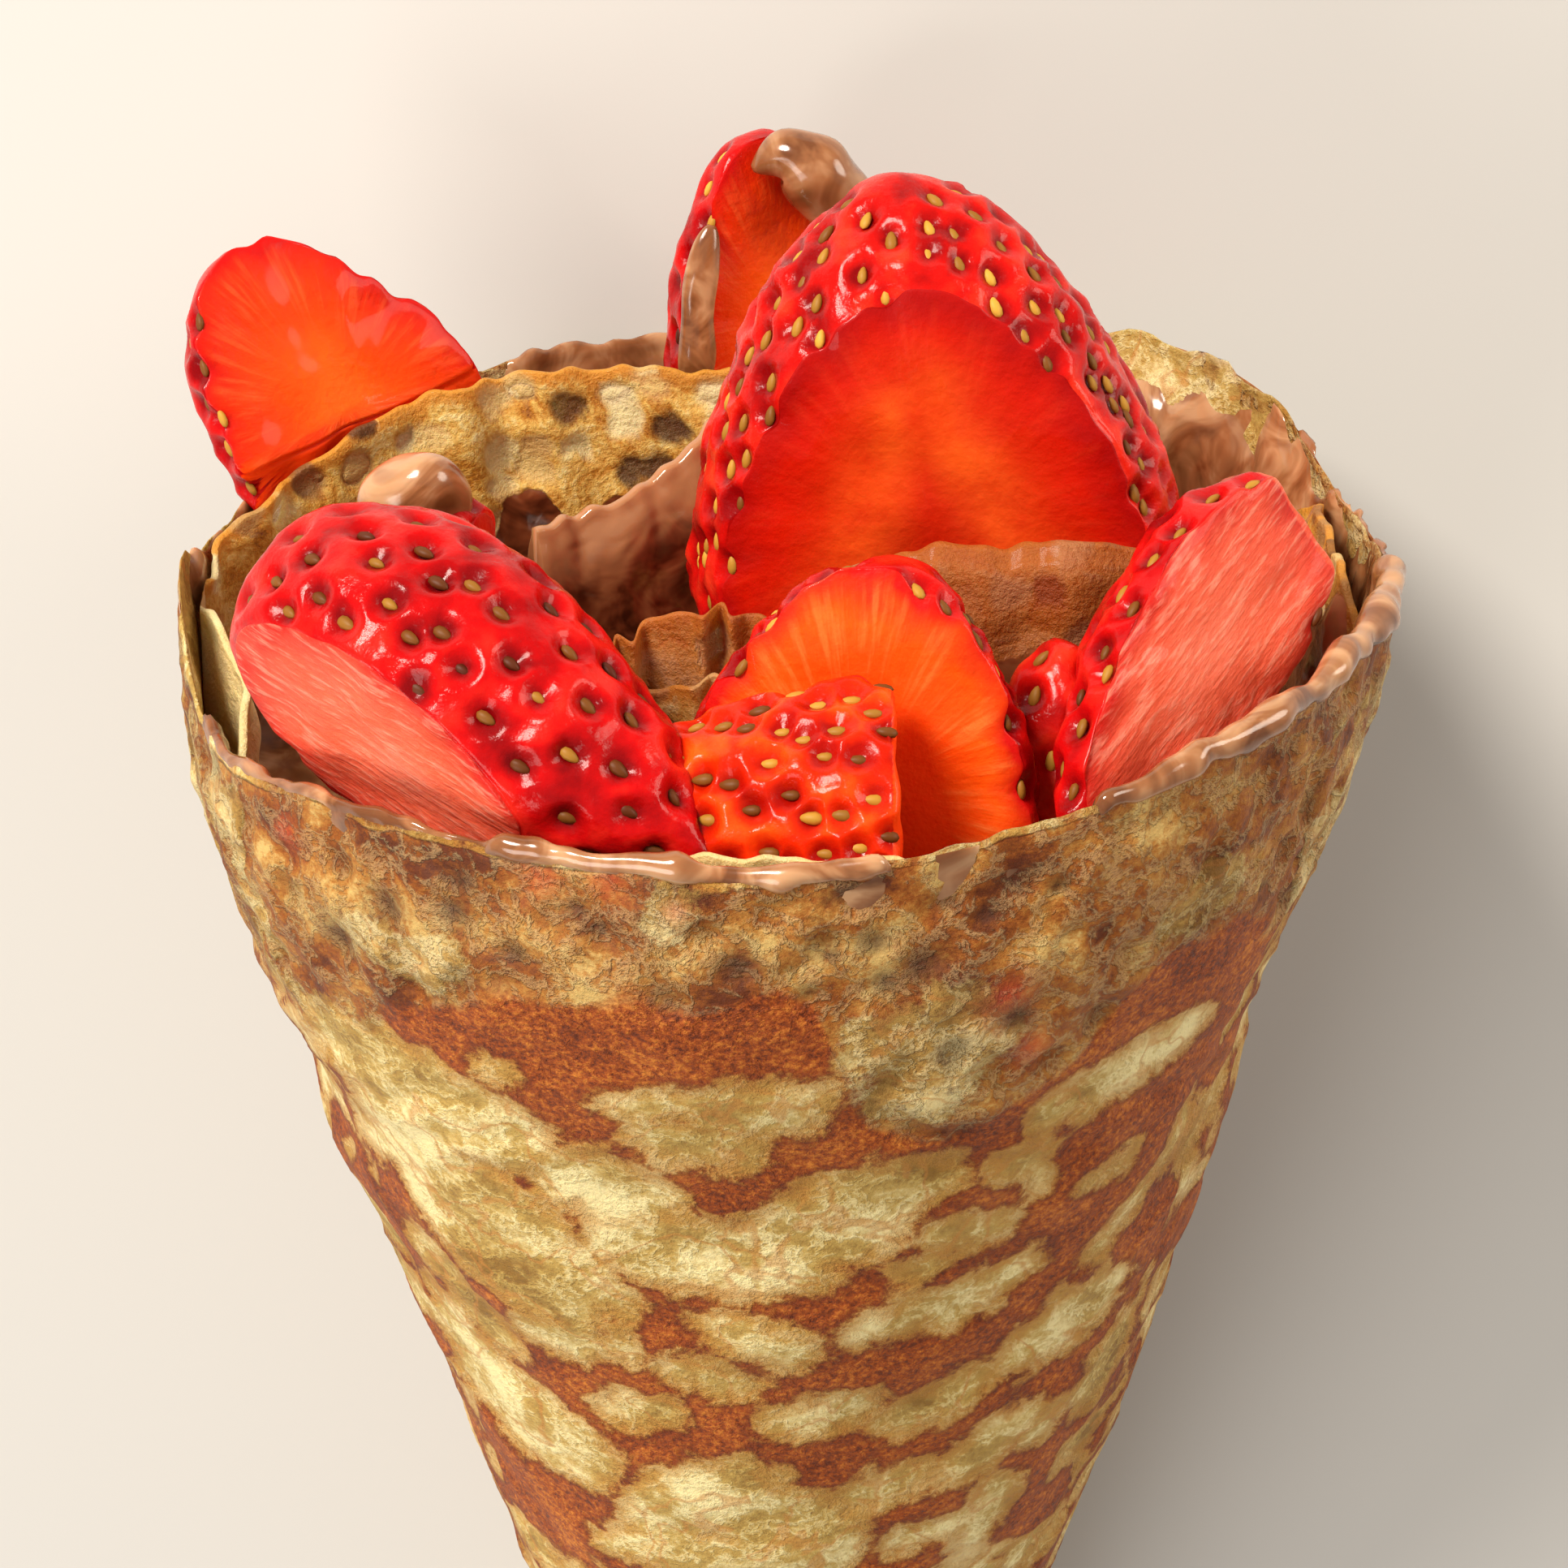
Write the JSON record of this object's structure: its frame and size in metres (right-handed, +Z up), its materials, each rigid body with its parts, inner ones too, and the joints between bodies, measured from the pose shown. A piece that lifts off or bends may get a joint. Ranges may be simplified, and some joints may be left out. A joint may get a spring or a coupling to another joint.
{
  "type": "crepe cone",
  "caption": "Crepe rolled into a cone, lying on its back, filled at the mouth with chocolate spread, folded inner layers and cut strawberries.",
  "frame": {"origin": "bottom centre of the box round the whole food as it lies, on the surface it rests on", "axes": "+Z up, +Y along the rest line toward the open mouth with the strawberries, X across the mouth"},
  "size_m": [0.0962, 0.1944, 0.0921],
  "materials": {
    "crepe": "browned, dry and slightly translucent",
    "chocolate_spread": "smooth and glossy",
    "strawberry": "wet red skin, orange-red cut faces"
  },
  "bodies": {
    "root": {"crepe": "crepe", "chocolate_spread": "chocolate_spread", "strawberry_centre": "strawberry", "strawberry_front_left": "strawberry", "strawberry_back_left": "strawberry", "strawberry_back": "strawberry", "strawberry_front_right": "strawberry", "strawberry_slice": "strawberry", "strawberry_front": "strawberry", "strawberry_gap": "strawberry", "strawberry_capped": "strawberry"}
  },
  "joints": []
}
